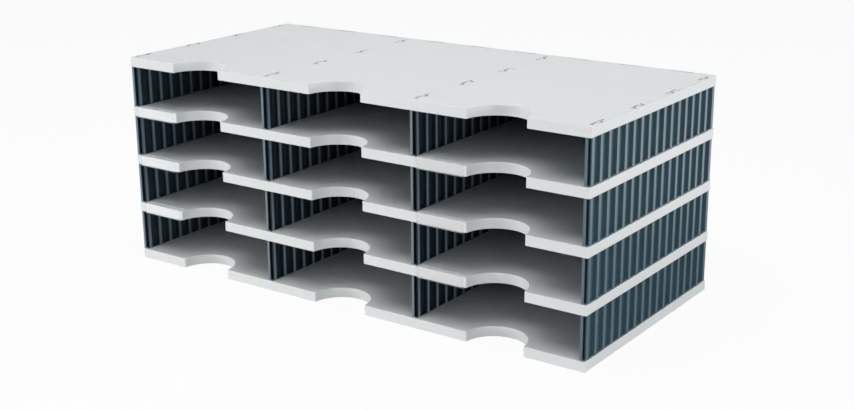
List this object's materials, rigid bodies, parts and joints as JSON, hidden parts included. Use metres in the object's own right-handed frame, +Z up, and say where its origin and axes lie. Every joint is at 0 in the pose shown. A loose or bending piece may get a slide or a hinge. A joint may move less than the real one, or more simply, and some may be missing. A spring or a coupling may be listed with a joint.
{
  "type": "compartment unit",
  "caption": "Free-standing office sorting unit of light grey finger-notched shelves plugged onto dark corrugated walls, with open-fronted letter compartments and clip-on label holders.",
  "frame": {"origin": "on the floor, under the middle of the unit's bounding box", "axes": "+X to the user's right along the shelves, +Y from the open front to the back, +Z up"},
  "size_m": [0.723, 0.3324, 0.292],
  "materials": {
    "shelf_grey": "fine satin moulded polystyrene, light cool grey",
    "wall_dark": "semi-gloss moulded polystyrene, blue-black",
    "label_clear": "clear glossy extruded plastic",
    "label_paper": "plain white paper strip, unprinted"
  },
  "bodies": {
    "unit": {"shelf_1": "shelf_grey", "shelf_2": "shelf_grey", "shelf_3": "shelf_grey", "shelf_4": "shelf_grey", "shelf_5": "shelf_grey", "wall_outer_left_1": "wall_dark", "wall_outer_left_2": "wall_dark", "wall_outer_left_3": "wall_dark", "wall_outer_left_4": "wall_dark", "wall_inner_left_1": "wall_dark", "wall_inner_left_2": "wall_dark", "wall_inner_left_3": "wall_dark", "wall_inner_left_4": "wall_dark", "wall_inner_right_1": "wall_dark", "wall_inner_right_2": "wall_dark", "wall_inner_right_3": "wall_dark", "wall_inner_right_4": "wall_dark", "wall_outer_right_1": "wall_dark", "wall_outer_right_2": "wall_dark", "wall_outer_right_3": "wall_dark", "wall_outer_right_4": "wall_dark", "back_panel_left_1": "wall_dark", "back_panel_left_2": "wall_dark", "back_panel_left_3": "wall_dark", "back_panel_left_4": "wall_dark", "back_panel_middle_1": "wall_dark", "back_panel_middle_2": "wall_dark", "back_panel_middle_3": "wall_dark", "back_panel_middle_4": "wall_dark", "back_panel_right_1": "wall_dark", "back_panel_right_2": "wall_dark", "back_panel_right_3": "wall_dark", "back_panel_right_4": "wall_dark"},
    "holder_left_2": {"label_holder_left_2": "label_clear"},
    "strip_left_2": {"label_strip_left_2": "label_paper"},
    "holder_left_3": {"label_holder_left_3": "label_clear"},
    "strip_left_3": {"label_strip_left_3": "label_paper"},
    "holder_left_4": {"label_holder_left_4": "label_clear"},
    "strip_left_4": {"label_strip_left_4": "label_paper"},
    "holder_right_2": {"label_holder_right_2": "label_clear"},
    "strip_right_2": {"label_strip_right_2": "label_paper"},
    "holder_right_3": {"label_holder_right_3": "label_clear"},
    "strip_right_3": {"label_strip_right_3": "label_paper"},
    "holder_right_4": {"label_holder_right_4": "label_clear"},
    "strip_right_4": {"label_strip_right_4": "label_paper"}
  },
  "joints": [
    {"name": "holder_left_2_slide", "type": "slide", "parent": "unit", "child": "holder_left_2", "axis": [1, 0, 0], "range_m": [-0.0037, 0.00205]},
    {"name": "strip_left_2_slide", "type": "slide", "parent": "holder_left_2", "child": "strip_left_2", "axis": [1, 0, 0], "range_m": [-0.05, 0.05]},
    {"name": "holder_left_3_slide", "type": "slide", "parent": "unit", "child": "holder_left_3", "axis": [1, 0, 0], "range_m": [-0.0005, 0.00525]},
    {"name": "strip_left_3_slide", "type": "slide", "parent": "holder_left_3", "child": "strip_left_3", "axis": [1, 0, 0], "range_m": [-0.05, 0.05]},
    {"name": "holder_left_4_slide", "type": "slide", "parent": "unit", "child": "holder_left_4", "axis": [1, 0, 0], "range_m": [-0.0005, 0.00525]},
    {"name": "strip_left_4_slide", "type": "slide", "parent": "holder_left_4", "child": "strip_left_4", "axis": [1, 0, 0], "range_m": [-0.05, 0.05]},
    {"name": "holder_right_2_slide", "type": "slide", "parent": "unit", "child": "holder_right_2", "axis": [1, 0, 0], "range_m": [-0.0027, 0.00305]},
    {"name": "strip_right_2_slide", "type": "slide", "parent": "holder_right_2", "child": "strip_right_2", "axis": [1, 0, 0], "range_m": [-0.05, 0.05]},
    {"name": "holder_right_3_slide", "type": "slide", "parent": "unit", "child": "holder_right_3", "axis": [1, 0, 0], "range_m": [-0.0027, 0.00305]},
    {"name": "strip_right_3_slide", "type": "slide", "parent": "holder_right_3", "child": "strip_right_3", "axis": [1, 0, 0], "range_m": [-0.05, 0.05]},
    {"name": "holder_right_4_slide", "type": "slide", "parent": "unit", "child": "holder_right_4", "axis": [1, 0, 0], "range_m": [-0.0027, 0.00305]},
    {"name": "strip_right_4_slide", "type": "slide", "parent": "holder_right_4", "child": "strip_right_4", "axis": [1, 0, 0], "range_m": [-0.05, 0.05]}
  ]
}
